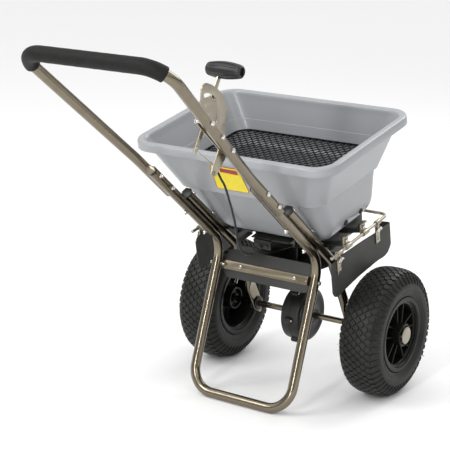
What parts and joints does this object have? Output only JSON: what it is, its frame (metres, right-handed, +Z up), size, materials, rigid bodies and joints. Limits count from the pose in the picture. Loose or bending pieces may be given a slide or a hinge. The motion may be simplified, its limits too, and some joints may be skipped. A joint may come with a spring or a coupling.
{
  "type": "walk-behind broadcast spreader",
  "caption": "Walk-behind broadcast spreader with a tube frame, pneumatic tyres, plastic hopper, gear-driven spinner, side deflectors and a cable-worked rate lever.",
  "frame": {"origin": "middle of the bounding box on the ground, machine parked on its tyres and stand", "axes": "+X to the machine's right, +Y forwards in its direction of travel, +Z up"},
  "size_m": [0.616, 1.0596, 0.9391],
  "materials": {
    "stainless_tube": "satin",
    "stainless_plate": "satin",
    "fasteners": "polished",
    "black_plastic": "matte",
    "shield_plastic": "matte",
    "tyre": "matte",
    "gear_steel": "satin",
    "foam": "matte",
    "hopper_plastic": "satin",
    "cable_sheath": "satin",
    "decal": "gloss"
  },
  "bodies": {
    "frame": {"handle_tube": "stainless_tube", "handle_grip": "foam", "stand_tube": "stainless_tube", "stand_end_caps": "black_plastic", "strut_left": "stainless_tube", "strut_right": "stainless_tube", "strut_end_caps": "black_plastic", "handle_bolts": "fasteners", "strut_bolts": "fasteners", "shield_bar": "stainless_tube", "rear_shield": "shield_plastic", "shield_bolts": "fasteners", "axle_bushes": "black_plastic", "gearbox_left": "black_plastic", "gearbox_right": "black_plastic", "gearbox_screws": "fasteners", "hopper": "hopper_plastic", "hopper_caps": "black_plastic", "chassis": "black_plastic", "cable_stop": "stainless_plate", "deflector_rod": "stainless_plate", "rod_arms": "black_plastic", "rod_clamps": "stainless_plate", "clamp_bolts": "fasteners", "quadrant": "stainless_plate", "quadrant_bolts": "fasteners", "lever_pivot": "fasteners", "cable_anchor": "stainless_plate", "cable_wire": "stainless_plate", "cable_outer": "cable_sheath", "decal": "decal"},
    "axle": {"axle": "stainless_tube", "axle_gear": "gear_steel", "tyre_right": "tyre", "rim_right": "black_plastic", "hub_cap_right": "stainless_plate", "valve_right": "fasteners", "drive_pin": "fasteners", "hub_cap_left": "stainless_plate"},
    "left_wheel": {"tyre_left": "tyre", "rim_left": "black_plastic", "valve_left": "fasteners"},
    "spinner": {"spinner_disc": "black_plastic", "spinner_shaft": "stainless_tube", "pinion": "gear_steel", "agitator": "stainless_tube"},
    "lever": {"lever": "stainless_plate", "lever_knob": "black_plastic"},
    "shutter": {"shutter": "stainless_plate", "shutter_link": "stainless_plate"},
    "screen": {"screen": "black_plastic"},
    "left_deflector": {"shield_left": "shield_plastic", "hangers_left": "stainless_plate", "wing_nuts_left": "fasteners"},
    "right_deflector": {"shield_right": "shield_plastic", "hangers_right": "stainless_plate", "wing_nuts_right": "fasteners"}
  },
  "joints": [
    {"name": "axle_spin", "type": "hinge", "parent": "frame", "child": "axle", "pos_m": [0, 0.36481, 0.165], "axis": [1, 0, 0], "continuous": true},
    {"name": "left_wheel_spin", "type": "hinge", "parent": "axle", "child": "left_wheel", "pos_m": [-0.245, 0.36481, 0.165], "axis": [1, 0, 0], "continuous": true},
    {"name": "spinner_spin", "type": "hinge", "parent": "frame", "child": "spinner", "pos_m": [0, 0.36481, 0.165], "axis": [0, -0.2028, 0.9792], "continuous": true},
    {"name": "lever_swing", "type": "hinge", "parent": "frame", "child": "lever", "pos_m": [0.1437, -0.31519, 0.799], "axis": [1, 0, 0], "range_deg": [-50, 40]},
    {"name": "shutter_slide", "type": "slide", "parent": "frame", "child": "shutter", "axis": [0, 0.9792, 0.2028], "range_m": [-0.0176, 0.0141]},
    {"name": "screen_lift", "type": "slide", "parent": "frame", "child": "screen", "axis": [0, -0.2028, 0.9792], "range_m": [0, 0.12]},
    {"name": "left_deflector_swing", "type": "hinge", "parent": "frame", "child": "left_deflector", "pos_m": [-0.205, 0.31006, 0.42939], "axis": [0, 0.9792, 0.2028], "range_deg": [-3, 55]},
    {"name": "right_deflector_swing", "type": "hinge", "parent": "frame", "child": "right_deflector", "pos_m": [0.205, 0.31006, 0.42939], "axis": [0, 0.9792, 0.2028], "range_deg": [-55, 3]}
  ],
  "couplings": [
    {"joint": "spinner_spin", "follows": "axle_spin", "ratio": 3},
    {"joint": "shutter_slide", "follows": "lever_swing", "m_per_rad": 0.02}
  ]
}
